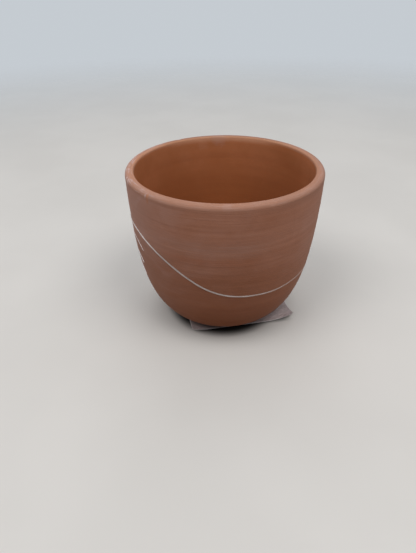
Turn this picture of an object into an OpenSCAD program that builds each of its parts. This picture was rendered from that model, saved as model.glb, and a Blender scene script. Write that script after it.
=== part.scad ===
// Small hand-finished terracotta pot: a thrown clay cup with a bullnose rim,
// a carved wave line and a carved sprig filled with white slip, and a paper
// label stuck under the foot. Millimetres, +Z up, origin on the resting
// plane at the pot's axis. -Y is the front, +X the right.

/* [Pot body] */
// Diameter over the rim
rim_dia = 100; // [80:1:130]
// Height of the clay body, foot to rim
pot_height = 86.85; // [75:0.05:110]
// Diameter of the flat foot
foot_dia = 48.8; // [38:0.1:56]
// Angle at which the wall leaves the foot, above the horizontal
foot_flare = 32.9; // [20:0.1:45]
// How far the foot's flare carries into the belly
foot_reach = 18.5; // [16:0.1:26]
// How far the straight upper wall carries down into the belly
rim_reach = 66.9; // [50:0.1:75]
// Draft of the wall just under the rim, from the vertical
rim_draft = 0.2; // [0:0.1:4]

/* [Wall and base] */
// Wall thickness at the rim
wall_thick = 4.4; // [3.7:0.1:6]
// Thickness of the base at the axis
base_thick = 6; // [4:0.1:9]
// Radius of the flat floor inside
floor_radius = 17.5; // [12:0.5:20]
// Radius on the outside edge of the rim
lip_out_radius = 2.15; // [1:0.05:2.4]
// Radius on the inside edge of the rim
lip_in_radius = 1.1; // [0.4:0.05:1.5]
// Diameter of the drain hole
drain_dia = 11; // [6:0.5:16]

/* [Wave line] */
// Height of the line along its low stretch
wave_low = 37.35; // [30:0.05:45]
// Height of the line on its crest
wave_high = 63.4; // [50:0.1:72]
// Direction of the crest's middle, from the front, towards the right
wave_crest = -90; // [-180:1:180]
// Half width of the level crest, in degrees
wave_flat = 24; // [10:0.1:60]
// Angle over which the line falls from the crest to its low stretch
wave_fall = 83.5; // [50:0.5:110]
// Skew of the fall: 1 is an even S, more drops sooner
wave_skew = 1.11; // [0.8:0.01:1.6]
// How far the hand wavers above and below the line
wave_waver = 0.26; // [0:0.02:0.6]
// Width of the carved line
line_width = 0.95; // [0.5:0.05:1.5]
// Depth of the carved line
line_depth = 0.5; // [0.3:0.05:0.9]
// How far the slip stops short of the clay's surface
slip_recess = 0.06; // [0.02:0.01:0.2]

/* [Sprig] */
// Direction of the sprig's stem, from the front, towards the right
sprig_at = -95; // [-180:1:180]
// Lowest point of the stem
stem_low = 19; // [14:0.5:28]
// Highest point of the stem
stem_high = 55; // [45:0.5:58]
// Number of leaf pairs
leaf_pairs = 3; // [1:1:3]
// Height at which the top pair springs from the stem
leaf_top = 47; // [40:0.5:50]
// Drop from one pair to the next
leaf_step = 9; // [8:0.1:10]
// Reach of the top pair round the pot, in degrees
leaf_reach = 39; // [20:0.1:40]
// How much less each lower pair reaches, in degrees
leaf_less = 4.6; // [2:0.1:8]
// Height of a leaf's arch above its springing point
leaf_rise = 8.9; // [4:0.1:9]
// Droop of a leaf's tip below the top of its arch
leaf_droop = 3.5; // [1:0.1:5]

/* [Label] */
// Length of the label
label_length = 60.4; // [40:0.1:70]
// Width of the label
label_width = 40; // [25:0.5:50]
// Thickness of the paper
label_thick = 0.12; // [0.08:0.01:0.2]
// Thickness of the adhesive film on the paper
glue_thick = 0.03; // [0.02:0.01:0.05]
// Turn of the label from the front
label_turn = 11.35; // [-30:0.05:30]
// Shift of the label along its length
label_shift_x = 6.8; // [-8:0.1:8]
// Shift of the label across its length
label_shift_y = -6.05; // [-8:0.05:8]
// Radius to which the lifted corners curl
curl_radius = 21.5; // [15:0.5:40]
// Length of corner that has lifted: front right
curl_front_right = 11.7; // [1:0.1:12]
// Length of corner that has lifted: front left
curl_front_left = 7.7; // [1:0.1:12]
// Length of corner that has lifted: back right
curl_back_right = 6; // [1:0.1:12]
// Length of corner that has lifted: back left
curl_back_left = 5; // [1:0.1:12]

/* [Hidden] */
$fn = 96;

rim_radius = rim_dia / 2;
foot_z = label_thick + glue_thick;      // the foot stands on the label
floor_z = foot_z + base_thick;
top_z = foot_z + pot_height;
drain_overcut = 1;                      // the drain's cutter, beyond each face
slip_color = [0.80, 0.76, 0.74];

// ---- profile of the clay, points [radius, height] -----------------------

outer_steps = 28;
bore_steps = 22;
floor_flare = 16;               // slope of the bore where it leaves the floor
floor_reach = 24;               // how far that slope carries
bore_reach = 58;                // how far the bore's upper wall carries down
bore_draft = rim_draft + 0.3;

// cubic Bezier curve through its first and last point, t from 0 to 1
function bezier(curve, t) =
    pow(1 - t, 3) * curve[0] + 3 * pow(1 - t, 2) * t * curve[1]
    + 3 * (1 - t) * t * t * curve[2] + pow(t, 3) * curve[3];

// wall curve from its low end, leaving at the flare, to its draft at the top
function wall_curve(low, flare, low_reach, high, draft, high_reach) = [
    low,
    low + low_reach * [cos(flare), sin(flare)],
    high - high_reach * [sin(draft), cos(draft)],
    high];

outer_curve = wall_curve(
    [foot_dia / 2, foot_z], foot_flare, foot_reach,
    [rim_radius, top_z - lip_out_radius], rim_draft, rim_reach);
bore_curve = wall_curve(
    [floor_radius, floor_z], floor_flare, floor_reach,
    [rim_radius - wall_thick, top_z - lip_in_radius], bore_draft, bore_reach);

// arc of a lip, tangent to the rim's top
function lip_arc(centre_r, radius, from, to, steps) =
    [for (i = [0:steps]) let (angle = from + (to - from) * i / steps)
        [centre_r + radius * cos(angle), top_z - radius + radius * sin(angle)]];

clay_profile = concat(
    [[0, foot_z]],
    [for (i = [0:outer_steps]) bezier(outer_curve, i / outer_steps)],
    lip_arc(rim_radius - lip_out_radius, lip_out_radius, 10, 90, 8),
    lip_arc(rim_radius - wall_thick + lip_in_radius, lip_in_radius, 90, 168, 6),
    [for (i = [bore_steps:-1:0]) bezier(bore_curve, i / bore_steps)],
    [[0, floor_z]]);

// ---- places on the outside of the wall ----------------------------------

halvings = 27;                  // of the search for a height
slope_span = 0.4;               // heights above and below that give the slope

// the outer curve's parameter at a height, by halving
function wall_at(z, low = 0, high = 1, left = halvings) =
    let (middle = (low + high) / 2)
    left == 0 ? middle
    : bezier(outer_curve, middle)[1] < z ? wall_at(z, middle, high, left - 1)
    : wall_at(z, low, middle, left - 1);
function wall_radius(z) = bezier(outer_curve, wall_at(z))[0];

// direction is measured from the front (-Y) towards the right (+X)
function around(direction, radius, z) =
    [radius * sin(direction), -radius * cos(direction), z];
function on_wall(station) = around(station[0], wall_radius(station[1]), station[1]);
function unit(v) = v / norm(v);
function wall_normal(station) =
    let (z = station[1],
         widening = wall_radius(z + slope_span) - wall_radius(z - slope_span),
         normal = unit([2 * slope_span, -widening]))
    around(station[0], normal[0], normal[1]);

// ---- ribbons carved into the wall ---------------------------------------
// A path is a list of stations [direction, height, width].

groove_clear = 0.7;             // the groove's cutter stands this far proud
half_mouth = 0.5;               // half widths, as shares of the line's width
half_bottom = 0.36;

// cross-sections: [share of the width to the side, distance out of the wall]
groove_section = [
    [half_mouth, groove_clear],
    [half_mouth, -slip_recess],
    [half_bottom, -line_depth],
    [-half_bottom, -line_depth],
    [-half_mouth, -slip_recess],
    [-half_mouth, groove_clear]];
// the slip fills the groove below its recess
slip_section = [for (i = [1:4]) groove_section[i]];

// the section's points at station i of a path
function placed_section(path, section, closed, i) =
    let (count = len(path),
         before = path[closed ? (i + count - 1) % count : max(0, i - 1)],
         after = path[closed ? (i + 1) % count : min(count - 1, i + 1)],
         centre = on_wall(path[i]),
         normal = wall_normal(path[i]),
         along = unit(on_wall(after) - on_wall(before)),
         side = unit(cross(normal, along)))
    [for (p = section) centre + side * path[i][2] * p[0] + normal * p[1]];

// solid with the given section along a path
module ribbon(path, section, closed = false) {
    count = len(path);
    sides = len(section);
    points = [for (i = [0:count - 1]) each placed_section(path, section, closed, i)];
    walls = [for (i = [0:(closed ? count : count - 1) - 1]) for (j = [0:sides - 1])
        let (here = i * sides,
             next = ((i + 1) % count) * sides,
             k = (j + 1) % sides)
        each [[here + j, here + k, next + k], [here + j, next + k, next + j]]];
    last = (count - 1) * sides;
    ends = closed ? [] : concat(
        [for (j = [1:sides - 2]) [0, j + 1, j]],
        [for (j = [1:sides - 2]) [last, last + j, last + j + 1]]);
    polyhedron(points = points, faces = concat(walls, ends), convexity = 10);
}

// ---- the wave line ------------------------------------------------------

wave_steps = 150;
waver_count = 9;                // wavers in one turn
waver_phase = 11.7;

// angle brought into -180 to 180
function wrap(angle) = angle - 360 * floor((angle + 180) / 360);
function wave_z(direction) =
    let (off_crest = abs(wrap(direction - wave_crest)),
         climb = min(1, max(0, 1 - (off_crest - wave_flat) / wave_fall)))
    wave_low + (wave_high - wave_low) * (1 - cos(180 * pow(climb, wave_skew))) / 2
    + wave_waver * sin(waver_count * direction - waver_phase);

wave_path = [for (i = [0:wave_steps - 1]) let (direction = -360 * i / wave_steps)
    [direction, wave_z(direction), line_width]];

// ---- the sprig ----------------------------------------------------------

stem_steps = 14;
stem_sway = 1.2;                // sideways bow of the stem, in degrees
stem_bend = 150;                // part of a sine wave that the bow follows
stem_width = 1.05;              // width at the foot, as a share of the line's
stem_taper = 0.5;               // share lost by the top

leaf_steps = 12;
leaf_start = 2.1;               // gap from the stem's direction, in degrees
left_drop = 2.2;                // left leaves spring this much lower
arch_at = 0.7;                  // share of the leaf's length at its arch's top
droop_power = 1.6;
rise_less = 0.12;               // share of height lost from pair to pair

stem_path = [for (i = [0:stem_steps]) let (s = i / stem_steps)
    [sprig_at + stem_sway * sin(stem_bend * s),
     stem_low + (stem_high - stem_low) * s,
     line_width * (stem_width - stem_taper * s)]];

// a leaf's stroke is full in its middle and runs out thin at both ends;
// s is 0 at the stem and 1 at the tip
function stroke_width(s) =
    line_width * (0.88 + 0.33 * sin(180 * s)) * min(1, 0.3 + 9 * min(s, 1 - s));

// height of a top leaf above its springing point
function leaf_z(s) = s < arch_at
    ? leaf_rise * (1 - pow(1 - s / arch_at, 2))
    : leaf_rise - leaf_droop * pow((s - arch_at) / (1 - arch_at), droop_power);

// pair counts down from the top; hand is -1 for left, 1 for right
function leaf_path(pair, hand) =
    let (reach = leaf_reach - leaf_less * pair,
         root = leaf_top - leaf_step * pair - (hand < 0 ? left_drop : 0))
    [for (i = [0:leaf_steps]) let (s = i / leaf_steps)
        [sprig_at + hand * (leaf_start + (reach - leaf_start) * s),
         root + leaf_z(s) * (1 - rise_less * pair),
         stroke_width(s)]];

module leaves(section) {
    for (pair = [0:leaf_pairs - 1])
        for (hand = [-1, 1])
            ribbon(leaf_path(pair, hand), section);
}

// ---- the label ----------------------------------------------------------

half_length = label_length / 2;
half_width = label_width / 2;
curl_steps = 9;
curl_overlap = 0.5;             // strip beyond the fold and beyond the corner
cutter_size = 60;               // larger than any corner

// each corner: [place, direction of its curl, length lifted]
corners = [
    [[half_length, -half_width], unit([0.665, -0.747]), curl_front_right],
    [[-half_length, -half_width], unit([-1, -1]), curl_front_left],
    [[-half_length, half_width], unit([-1, 1]), curl_back_left],
    [[half_length, half_width], unit([1, 1]), curl_back_right]];

// puts its children on a corner's fold line, +X out towards the corner
module at_fold(corner) {
    translate(corner[0] - corner[1] * corner[2])
        rotate(atan2(corner[1][1], corner[1][0]))
            children();
}

module label_outline() {
    square([label_length, label_width], center = true);
}

// the flat of the label: the rectangle less its four lifted corners
module label_flat(thick) {
    linear_extrude(height = thick) difference() {
        label_outline();
        for (corner = corners)
            at_fold(corner)
                translate([0, -cutter_size]) square([cutter_size, 2 * cutter_size]);
    }
}

// height of the curl at a distance out from the fold
function curl_z(x) =
    x <= 0 ? 0 : curl_radius - sqrt(curl_radius * curl_radius - x * x);

// one lifted corner: a strip bent to the curl's radius, trimmed to the
// label's outline; it starts inside the flat, so that the two are one sheet
module label_corner(corner, thick) {
    reach = corner[2] + curl_overlap;
    stations = concat([-curl_overlap], [for (i = [0:curl_steps]) reach * i / curl_steps]);
    under = [for (x = stations) [x, curl_z(x)]];
    over = [for (i = [len(under) - 1:-1:0]) under[i] + [0, thick]];
    intersection() {
        linear_extrude(height = 20, center = true) label_outline();
        at_fold(corner)
            rotate([90, 0, 0])
                linear_extrude(height = cutter_size, center = true)
                    polygon(concat(under, over));
    }
}

// the whole label's shape between two heights
module sheet(bottom, top) {
    rotate([0, 0, label_turn]) translate([label_shift_x, label_shift_y, bottom]) {
        label_flat(top - bottom);
        for (corner = corners) label_corner(corner, top - bottom);
    }
}

// ---- the pieces ---------------------------------------------------------

// One fired shell of clay: wall, rim and base, with the drain hole and the
// carved lines cut into it
module pot_body() {
    color([0.70, 0.43, 0.32]) difference() {
        rotate_extrude() polygon(clay_profile);
        translate([0, 0, foot_z - drain_overcut])
            cylinder(d = drain_dia, h = base_thick + 2 * drain_overcut);
        ribbon(wave_path, groove_section, closed = true);
        ribbon(stem_path, groove_section);
        leaves(groove_section);
    }
}

// White slip in the line that runs all the way round
module wave_line_inlay() {
    color(slip_color) ribbon(wave_path, slip_section, closed = true);
}

// White slip in the sprig's stem
module sprig_stem_inlay() { color(slip_color) ribbon(stem_path, slip_section); }

// White slip in the sprig's leaves, one solid a leaf
module sprig_leaf_inlays() { color(slip_color) leaves(slip_section); }

// Paper label between the foot and the table, adhesive side up
module base_label() { color([0.72, 0.70, 0.72]) sheet(0, label_thick); }

// Film of adhesive that holds the label to the foot
module label_adhesive() { color([0.66, 0.63, 0.66]) sheet(label_thick, foot_z); }

pot_body();
wave_line_inlay();
sprig_stem_inlay();
sprig_leaf_inlays();
base_label();
label_adhesive();
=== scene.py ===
import math

import bmesh
import bpy
import numpy as np
from mathutils import Matrix, Vector


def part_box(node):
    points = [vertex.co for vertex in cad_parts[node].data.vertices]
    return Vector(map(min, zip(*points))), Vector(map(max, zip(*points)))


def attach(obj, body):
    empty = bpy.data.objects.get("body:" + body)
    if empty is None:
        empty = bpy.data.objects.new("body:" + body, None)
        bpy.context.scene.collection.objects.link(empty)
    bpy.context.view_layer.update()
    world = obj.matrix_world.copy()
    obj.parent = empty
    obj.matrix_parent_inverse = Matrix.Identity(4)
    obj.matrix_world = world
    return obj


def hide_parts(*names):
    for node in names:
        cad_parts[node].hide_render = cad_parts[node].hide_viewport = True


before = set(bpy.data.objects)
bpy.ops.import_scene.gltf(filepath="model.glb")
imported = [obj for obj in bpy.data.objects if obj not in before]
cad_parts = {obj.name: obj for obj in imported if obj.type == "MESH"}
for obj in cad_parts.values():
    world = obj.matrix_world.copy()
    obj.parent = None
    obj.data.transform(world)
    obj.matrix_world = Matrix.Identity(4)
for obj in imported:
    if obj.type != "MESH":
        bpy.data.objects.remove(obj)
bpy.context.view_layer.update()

MM = 0.001

# ---------------------------------------------------------------------------
# sizes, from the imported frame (millimetres)
# ---------------------------------------------------------------------------
pot_lo, pot_hi = [Vector(v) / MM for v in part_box("pot_body")]
lab_lo, lab_hi = [Vector(v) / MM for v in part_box("base_label")]
RIM = (pot_hi.x - pot_lo.x) / 2            # 50
Z0 = pot_lo.z                              # foot plane, on the label
TOP = pot_hi.z
WALL = 4.4
LIP_O, LIP_I = 2.15, 1.1
FOOT = 24.4
HOLE = 5.5
BASE = 6.0
COLS = 420                                 # columns round the pot


def bez(a, b, c, d, t):
    t = np.asarray(t, float)[:, None]
    a, b, c, d = (np.asarray(p, float) for p in (a, b, c, d))
    return ((1 - t) ** 3 * a + 3 * (1 - t) ** 2 * t * b + 3 * (1 - t) * t * t * c + t ** 3 * d)


def polar(deg):
    return np.array([math.cos(math.radians(deg)), math.sin(math.radians(deg))])


# outside of the wall, foot to lip
_o0 = np.array([FOOT, Z0])
_o3 = np.array([RIM, TOP - LIP_O])
_o1 = _o0 + 18.5 * polar(32.9)
_o2 = _o3 - 66.9 * np.array([math.sin(math.radians(0.2)), math.cos(math.radians(0.2))])
OUT = bez(_o0, _o1, _o2, _o3, np.linspace(0, 1, 1200))
# the foot's edge is rubbed round
_edge = OUT[np.searchsorted(np.hypot(*(OUT - _o0).T), 1.5):]
_round = bez([FOOT - 1.1, Z0], [FOOT - 0.35, Z0], _edge[0] - 0.75 * polar(33.8), _edge[0], np.linspace(0, 1, 24))
OUT = np.vstack([_round[:-1], _edge])
OUT_S = np.concatenate([[0], np.cumsum(np.hypot(*np.diff(OUT, axis=0).T))])
OUT_LEN = OUT_S[-1]

# inside of the wall, lip to floor
_i0 = np.array([17.5, Z0 + BASE])
_i3 = np.array([RIM - WALL, TOP - LIP_I])
_i1 = _i0 + 24 * polar(16)
_i2 = _i3 - 58 * np.array([math.sin(math.radians(0.5)), math.cos(math.radians(0.5))])
INN = bez(_i0, _i1, _i2, _i3, np.linspace(0, 1, 900))[::-1]
INN_S = np.concatenate([[0], np.cumsum(np.hypot(*np.diff(INN, axis=0).T))])


def out_rz(s):
    return np.interp(s, OUT_S, OUT[:, 0]), np.interp(s, OUT_S, OUT[:, 1])


def out_s(z):
    return np.interp(z, OUT[:, 1], OUT_S)


def out_normal(s):
    r1, z1 = out_rz(np.clip(s + 0.3, 0, OUT_LEN))
    r0, z0 = out_rz(np.clip(s - 0.3, 0, OUT_LEN))
    dr, dz = r1 - r0, z1 - z0
    l = np.hypot(dr, dz)
    return dz / l, -dr / l


# ---------------------------------------------------------------------------
# small hand-made irregularities, periodic round the pot
# ---------------------------------------------------------------------------
class Wobble:
    """Sum of sines in direction and height, the same on every run."""

    def __init__(self, seed, n, kmax, zlen, slope=1.0):
        g = np.random.RandomState(seed)
        self.k = g.randint(0, kmax + 1, n)
        self.w = g.uniform(-1, 1, n) * 2 * math.pi / zlen
        self.p = g.uniform(0, 2 * math.pi, n)
        a = g.uniform(0.4, 1.0, n) / (1 + self.k) ** slope
        self.a = a / math.sqrt((a ** 2).sum() / 2)

    def __call__(self, th, z):
        out = np.zeros(np.broadcast(th, z).shape)
        for k, w, p, a in zip(self.k, self.w, self.p, self.a):
            out += a * np.sin(k * th + w * z + p)
        return out


form = Wobble(3, 9, 4, 120)
rings = Wobble(11, 16, 1, 3.1, 2.0)
rings_in = Wobble(17, 14, 1, 5.5, 2.0)
dents = Wobble(5, 26, 22, 9.0, 0.35)
lipw = Wobble(21, 8, 6, 400)


def smooth(x, a, b):
    t = np.clip((x - a) / (b - a), 0, 1)
    return t * t * (3 - 2 * t)


def push_out(th, z):
    """How far the outside stands off the ideal wall, mm."""
    fade = smooth(z, 1.0, 9.0)
    return (0.045 * form(th, z) + 0.020 * rings(th, z) + 0.012 * dents(th, z)) * fade


def push_in(th, z):
    fade = smooth(z, 8.0, 14.0)
    return (0.06 * form(th + 1.0, z) + 0.028 * rings_in(th, z) + 0.015 * dents(th + 2.0, z)) * fade


def lift_rim(th, z):
    """Unevenness of the rim's height, mm. It never stands above the ideal rim."""
    return (0.045 * lipw(th, 0 * z) - 0.07) * smooth(z, 70.0, 84.0)


def on_wall(th, s, up=0.0):
    """Point on the outside at direction th (0 = front, + to the right) and arc length s."""
    r, z = out_rz(s)
    nr, nz = out_normal(s)
    d = push_out(th, z) + up
    rr = r + nr * d
    zz = z + nz * d + lift_rim(th, z)
    return np.stack([rr * np.sin(th), -rr * np.cos(th), zz], -1)


def wall_normal(th, s):
    nr, nz = out_normal(s)
    return np.stack([nr * np.sin(th), -nr * np.cos(th), nz + 0 * th], -1)


# ---------------------------------------------------------------------------
# the wave line and the sprig, as in the frame
# ---------------------------------------------------------------------------
W_LOW, W_HIGH, W_CREST, W_FLAT, W_FALL, W_SKEW, W_WAVER = 37.35, 63.4, -90.0, 24.0, 83.5, 1.11, 0.26


def wave_z(th):
    d = np.abs((np.degrees(th) - W_CREST + 180) % 360 - 180)
    t = np.clip(1 - (d - W_FLAT) / W_FALL, 0, 1)
    return W_LOW + (W_HIGH - W_LOW) * (1 - np.cos(np.pi * t ** W_SKEW)) / 2 + W_WAVER * np.sin(9 * th - math.radians(11.7))


hand = Wobble(31, 7, 9, 400, 0.5)


def wave_s(th):
    return out_s(wave_z(th)) + 0.05 * hand(th, 0 * th)


def line_half(th):
    """Half width of the carved wave line: a little fuller on the left than on the right."""
    c = np.cos(th - math.radians(-45))
    return 0.51 + 0.03 * c + 0.02 * hand(th + 1.3, 0 * th)


def leaf_path(pair, side, n=40):
    s = np.linspace(0, 1, n)
    reach = 39.0 - 4.6 * pair
    root = 47.0 - 9.0 * pair
    rise, droop = 8.9, 3.5
    z = np.where(s < 0.7, rise * (1 - (1 - s / 0.7) ** 2), rise - droop * (np.maximum(s - 0.7, 0) / 0.3) ** 1.6)
    th = np.radians(-95 + side * (2.1 + (reach - 2.1) * s))
    zz = root - (2.2 if side < 0 else 0) + z * (1 - 0.12 * pair)
    w = 1.1 * (0.76 + 0.31 * np.sin(np.pi * s)) * (1 + 0.10 * pair)
    w *= 1 + 0.06 * np.sin(9 * s + pair * 2.1 + side) + (0.25 * smooth(s, 0.6, 0.95) if pair == 1 and side > 0 else 0)
    w *= np.minimum(1, 0.30 + 9 * np.minimum(s, 1 - s))
    return th, out_s(zz), w


def stem_path(n=44):
    s = np.linspace(0, 1, n)
    th = np.radians(-95 + 1.2 * np.sin(np.radians(150 * s)))
    zz = 19 + 36 * s
    w = 1.0 * (1.05 - 0.5 * s) * (1 + 0.05 * np.sin(11 * s)) * np.minimum(1, 0.25 + 8 * np.minimum(s, 1 - s))
    return th, out_s(zz), w


# ---------------------------------------------------------------------------
# mesh helpers
# ---------------------------------------------------------------------------
def make(name, verts, faces, mats, body="root", sharp=38.0):
    me = bpy.data.meshes.new(name)
    me.from_pydata([tuple(map(float, v)) for v in np.asarray(verts) * MM], [], [tuple(map(int, f)) for f in faces])
    me.validate()
    me.update()
    for m in mats:
        me.materials.append(m)
    ob = bpy.data.objects.new(name, me)
    bpy.context.scene.collection.objects.link(ob)
    shade(ob, sharp)
    if body:
        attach(ob, body)
    return ob


def shade(ob, sharp):
    me = ob.data
    me.polygons.foreach_set("use_smooth", [True] * len(me.polygons))
    bm = bmesh.new()
    bm.from_mesh(me)
    lim = math.radians(sharp)
    for e in bm.edges:
        e.smooth = not (len(e.link_faces) == 2 and e.calc_face_angle(0) > lim)
    bm.to_mesh(me)
    bm.free()
    me.update()


def ribbon(th, s, w, ups, fracs, closed=False):
    """Sections along a path on the wall. ups: height of each section point above the wall; fracs: its place across the width, -0.5 to 0.5."""
    P = on_wall(th, s)
    N = wall_normal(th, s)
    if closed:
        T = np.roll(P, -1, 0) - np.roll(P, 1, 0)
    else:
        T = np.gradient(P, axis=0)
    T /= np.linalg.norm(T, axis=1)[:, None]
    S = np.cross(N, T)
    S /= np.linalg.norm(S, axis=1)[:, None]
    m, k = len(th), len(ups)
    V = np.zeros((m, k, 3))
    for j, (u, f) in enumerate(zip(ups, fracs)):
        u = u if np.ndim(u) else np.full(m, u)
        V[:, j] = P + S * (w * f)[:, None] + N * u[:, None]
    V = V.reshape(-1, 3)
    F = []
    for i in range(m if closed else m - 1):
        a, b = i * k, ((i + 1) % m) * k
        for j in range(k):
            j2 = (j + 1) % k
            F.append((a + j, a + j2, b + j2, b + j))
    if not closed:
        F.append(tuple(range(k - 1, -1, -1)))
        F.append(tuple((m - 1) * k + j for j in range(k)))
    return V, F


# ---------------------------------------------------------------------------
# materials
# ---------------------------------------------------------------------------
class Nodes:
    """Short hand for building a material's node tree."""

    def __init__(self, name):
        self.mat = bpy.data.materials.new(name)
        self.mat.use_nodes = True
        self.t = self.mat.node_tree
        self.t.nodes.clear()
        self.x = 0

    def add(self, kind, **kw):
        n = self.t.nodes.new(kind)
        n.location = (self.x, 0)
        self.x += 180
        for k, v in kw.items():
            setattr(n, k, v)
        return n

    def link(self, a, b):
        self.t.links.new(a, b)

    def put(self, socket, v):
        if hasattr(v, "is_output"):
            self.link(v, socket)
        elif isinstance(v, (tuple, list)) and len(v) == 3 and socket.type == "RGBA":
            socket.default_value = (*v, 1)
        else:
            socket.default_value = v

    def math(self, op, a, b=0.0, c=0.0, clamp=False):
        n = self.add("ShaderNodeMath", operation=op, use_clamp=clamp)
        for i, v in enumerate((a, b, c)):
            self.put(n.inputs[i], v)
        return n.outputs[0]

    def mix(self, f, a, b, mode="MIX"):
        n = self.add("ShaderNodeMix", data_type="RGBA", blend_type=mode)
        self.put(n.inputs[0], f)
        self.put(n.inputs[6], a)
        self.put(n.inputs[7], b)
        return n.outputs[2]

    def mixf(self, f, a, b):
        n = self.add("ShaderNodeMix", data_type="FLOAT")
        self.put(n.inputs[0], f)
        self.put(n.inputs[2], a)
        self.put(n.inputs[3], b)
        return n.outputs[0]

    def ramp(self, v, lo, hi, a=0.0, b=1.0, kind="SMOOTHSTEP"):
        n = self.add("ShaderNodeMapRange", interpolation_type=kind)
        self.put(n.inputs[0], v)
        for i, x in enumerate((lo, hi, a, b)):
            self.put(n.inputs[1 + i], x)
        return n.outputs[0]

    def noise(self, vec, scale, detail=4.0, rough=0.55, dist=0.0):
        n = self.add("ShaderNodeTexNoise")
        self.put(n.inputs["Vector"], vec)
        self.put(n.inputs["Scale"], scale)
        self.put(n.inputs["Detail"], detail)
        self.put(n.inputs["Roughness"], rough)
        self.put(n.inputs["Distortion"], dist)
        return n.outputs[0]

    def scaled(self, vec, x, y, z, off=(0, 0, 0)):
        n = self.add("ShaderNodeMapping")
        self.put(n.inputs[0], vec)
        n.inputs["Scale"].default_value = (x, y, z)
        n.inputs["Location"].default_value = off
        return n.outputs[0]

    def bump(self, h, dist, strength=1.0, normal=None):
        n = self.add("ShaderNodeBump")
        self.put(n.inputs["Height"], h)
        n.inputs["Distance"].default_value = dist
        n.inputs["Strength"].default_value = strength
        if normal is not None:
            self.link(normal, n.inputs["Normal"])
        return n.outputs[0]

    def finish(self, color, rough, normal=None, **more):
        b = self.add("ShaderNodeBsdfPrincipled")
        self.put(b.inputs["Base Color"], color)
        self.put(b.inputs["Roughness"], rough)
        if normal is not None:
            self.link(normal, b.inputs["Normal"])
        for k, v in more.items():
            self.put(b.inputs[k], v)
        o = self.add("ShaderNodeOutputMaterial")
        self.link(b.outputs[0], o.inputs[0])
        return self.mat


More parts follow.
